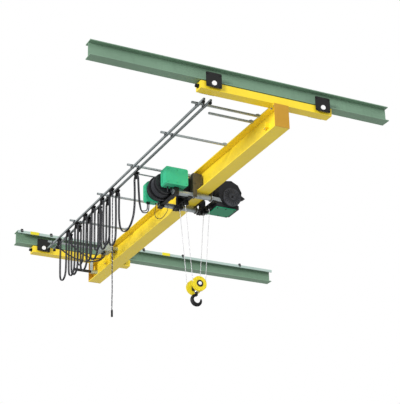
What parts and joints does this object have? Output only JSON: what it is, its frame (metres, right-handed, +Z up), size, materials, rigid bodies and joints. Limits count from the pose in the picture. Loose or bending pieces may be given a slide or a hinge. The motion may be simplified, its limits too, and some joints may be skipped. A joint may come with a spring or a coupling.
{
  "type": "overhead bridge crane",
  "caption": "Underslung single-girder overhead crane: bridge hung from two runway beams, wire rope hoist trolley with hook block, festoon cable rails and pendant line.",
  "frame": {"origin": "on the top face of the near runway beam, over the girder's centreline as it stands", "axes": "+X along the runway, +Y along the bridge girder from the near runway beam to the far one, +Z up"},
  "size_m": [6.23, 6.6506, 2.4827],
  "materials": {
    "runway_paint": "satin",
    "line_grey": "satin",
    "line_yellow": "satin",
    "hanger_dark": "satin",
    "crane_yellow": "satin",
    "black_paint": "satin",
    "zinc": "satin",
    "wheel_steel": "satin",
    "buffer_rubber": "matt",
    "cabinet_grey": "satin",
    "trolley_dark": "matt",
    "cable_rubber": "matt",
    "hoist_green": "satin",
    "hoist_dark": "satin",
    "plate_bronze": "satin",
    "rope_wire": "bright",
    "block_yellow": "satin",
    "hook_black": "forged"
  },
  "bodies": {
    "runway": {"near_runway_beam": "runway_paint", "far_runway_beam": "runway_paint", "conductor_rail": "line_grey", "conductor_rail_hangers": "hanger_dark", "conductor_joint_covers": "line_yellow"},
    "bridge": {"main_girder": "crane_yellow", "girder_end_plates": "crane_yellow", "girder_end_stops": "crane_yellow", "near_end_carriage": "crane_yellow", "far_end_carriage": "crane_yellow", "wheel_trucks": "black_paint", "truck_pins": "zinc", "carriage_buffers": "buffer_rubber", "festoon_rail_outer": "zinc", "festoon_rail_inner": "zinc", "festoon_arms": "zinc", "festoon_rail_clamps": "hanger_dark", "pendant_line_trolleys": "trolley_dark", "hoist_line_end_clamp": "trolley_dark", "control_cabinet": "cabinet_grey", "cabinet_rails": "hanger_dark", "far_end_arm": "hanger_dark", "far_arm_plate": "cabinet_grey", "pendant_line_cable": "cable_rubber", "pendant_cable_end": "trolley_dark", "hoist_line_tail": "cable_rubber"},
    "near_left_wheel_pair": {"near_left_wheels": "wheel_steel"},
    "near_right_wheel_pair": {"near_right_wheels": "wheel_steel"},
    "far_left_wheel_pair": {"far_left_wheels": "wheel_steel"},
    "far_right_wheel_pair": {"far_right_wheels": "wheel_steel"},
    "hoist_trolley": {"trolley_cheeks": "plate_bronze", "cross_tubes": "zinc", "trolley_end_frame": "plate_bronze", "drum_housing": "hoist_dark", "drum_end_cover": "hoist_green", "drum_frame": "hoist_dark", "control_box": "hoist_green", "gear_housing": "hoist_dark", "brake_cover": "hoist_dark", "motor_cover": "hoist_green", "rope_guides": "hoist_dark", "hoist_ropes": "rope_wire", "tow_arm": "zinc"},
    "trolley_front_pair": {"trolley_front_wheels": "wheel_steel"},
    "trolley_rear_pair": {"trolley_rear_wheels": "wheel_steel"},
    "bottom_block": {"block_guards": "block_yellow", "block_sheaves": "wheel_steel", "block_axle": "zinc", "hook_crosshead": "hook_black"},
    "hook_body": {"hook": "hook_black"},
    "cable_slider_1": {"cable_trolley_1": "trolley_dark"},
    "cable_slider_2": {"cable_trolley_2": "trolley_dark"},
    "cable_slider_3": {"cable_trolley_3": "trolley_dark"},
    "cable_slider_4": {"cable_trolley_4": "trolley_dark"},
    "cable_slider_5": {"cable_trolley_5": "trolley_dark"},
    "cable_slider_6": {"cable_trolley_6": "trolley_dark"}
  },
  "joints": [
    {"name": "bridge_travel", "type": "slide", "parent": "runway", "child": "bridge", "axis": [1, 0, 0], "range_m": [-0.2, 0.6]},
    {"name": "near_left_roll", "type": "hinge", "parent": "bridge", "child": "near_left_wheel_pair", "pos_m": [-1.02, 0, -0.1627], "axis": [0, 1, 0], "continuous": true},
    {"name": "near_right_roll", "type": "hinge", "parent": "bridge", "child": "near_right_wheel_pair", "pos_m": [0.645, 0, -0.1627], "axis": [0, 1, 0], "continuous": true},
    {"name": "far_left_roll", "type": "hinge", "parent": "bridge", "child": "far_left_wheel_pair", "pos_m": [-1.02, 6.4, -0.1627], "axis": [0, 1, 0], "continuous": true},
    {"name": "far_right_roll", "type": "hinge", "parent": "bridge", "child": "far_right_wheel_pair", "pos_m": [0.4, 6.4, -0.1627], "axis": [0, 1, 0], "continuous": true},
    {"name": "trolley_travel", "type": "slide", "parent": "bridge", "child": "hoist_trolley", "axis": [0, 1, 0], "range_m": [-1.8, 1.7]},
    {"name": "trolley_front_roll", "type": "hinge", "parent": "hoist_trolley", "child": "trolley_front_pair", "pos_m": [0, 2.33, -0.6167], "axis": [1, 0, 0], "continuous": true},
    {"name": "trolley_rear_roll", "type": "hinge", "parent": "hoist_trolley", "child": "trolley_rear_pair", "pos_m": [0, 2.77, -0.6167], "axis": [1, 0, 0], "continuous": true},
    {"name": "hook_lift", "type": "slide", "parent": "hoist_trolley", "child": "bottom_block", "axis": [0, 0, 1], "range_m": [0, 0.85], "deforming": ["hoist_ropes"]},
    {"name": "hook_swivel", "type": "hinge", "parent": "bottom_block", "child": "hook_body", "pos_m": [0, 2.55, -2.2], "axis": [0, 0, 1], "continuous": true},
    {"name": "cable_slide_6", "type": "slide", "parent": "bridge", "child": "cable_slider_6", "axis": [0, 1, 0], "range_m": [-0.2591, 0.2449]},
    {"name": "cable_slide_5", "type": "slide", "parent": "cable_slider_6", "child": "cable_slider_5", "axis": [0, 1, 0], "range_m": [-0.2591, 0.2449]},
    {"name": "cable_slide_4", "type": "slide", "parent": "cable_slider_5", "child": "cable_slider_4", "axis": [0, 1, 0], "range_m": [-0.3106, 0.2934]},
    {"name": "cable_slide_3", "type": "slide", "parent": "cable_slider_4", "child": "cable_slider_3", "axis": [0, 1, 0], "range_m": [-0.1871, 0.1769]},
    {"name": "cable_slide_2", "type": "slide", "parent": "cable_slider_3", "child": "cable_slider_2", "axis": [0, 1, 0], "range_m": [-0.2283, 0.2157]},
    {"name": "cable_slide_1", "type": "slide", "parent": "cable_slider_2", "child": "cable_slider_1", "axis": [0, 1, 0], "range_m": [-0.5677, 0.5363]}
  ],
  "couplings": [
    {"joint": "near_left_roll", "follows": "bridge_travel", "rad_per_m": 22.222},
    {"joint": "near_right_roll", "follows": "bridge_travel", "rad_per_m": 22.222},
    {"joint": "far_left_roll", "follows": "bridge_travel", "rad_per_m": 22.222},
    {"joint": "far_right_roll", "follows": "bridge_travel", "rad_per_m": 22.222},
    {"joint": "trolley_front_roll", "follows": "trolley_travel", "rad_per_m": -19.231},
    {"joint": "trolley_rear_roll", "follows": "trolley_travel", "rad_per_m": -19.231},
    {"joint": "cable_slide_6", "follows": "trolley_travel", "ratio": 0.14286},
    {"joint": "cable_slide_5", "follows": "trolley_travel", "ratio": 0.14286},
    {"joint": "cable_slide_4", "follows": "trolley_travel", "ratio": 0.17143},
    {"joint": "cable_slide_3", "follows": "trolley_travel", "ratio": 0.10286},
    {"joint": "cable_slide_2", "follows": "trolley_travel", "ratio": 0.12571},
    {"joint": "cable_slide_1", "follows": "trolley_travel", "ratio": 0.31429}
  ]
}
